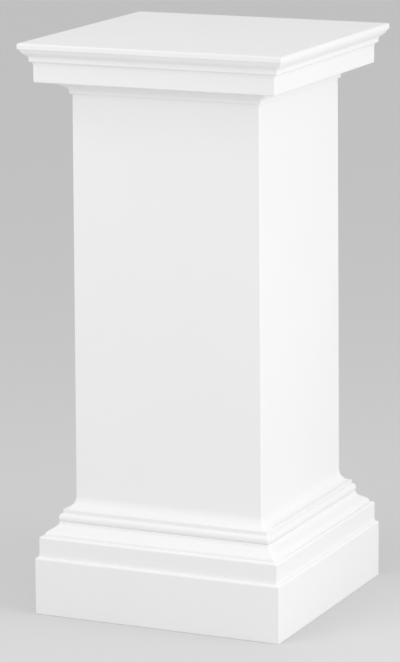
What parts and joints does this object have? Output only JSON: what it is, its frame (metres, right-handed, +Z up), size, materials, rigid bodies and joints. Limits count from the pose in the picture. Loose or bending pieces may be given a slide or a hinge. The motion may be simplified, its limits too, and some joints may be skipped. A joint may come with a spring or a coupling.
{
  "type": "column pedestal",
  "caption": "Square white column pedestal with a moulded base, a plain slightly tapered shaft and a moulded cap with a flat top, for standing a vase, bust or plant on.",
  "frame": {"origin": "centre of the underside, on the floor it stands on", "axes": "+Z up the shaft; X and Y square to the four faces"},
  "size_m": [0.3392, 0.3392, 0.7],
  "materials": {
    "white_paint": "matt to satin white paint on a smooth rigid-foam casting"
  },
  "bodies": {
    "root": {"pedestal": "white_paint"}
  },
  "joints": []
}
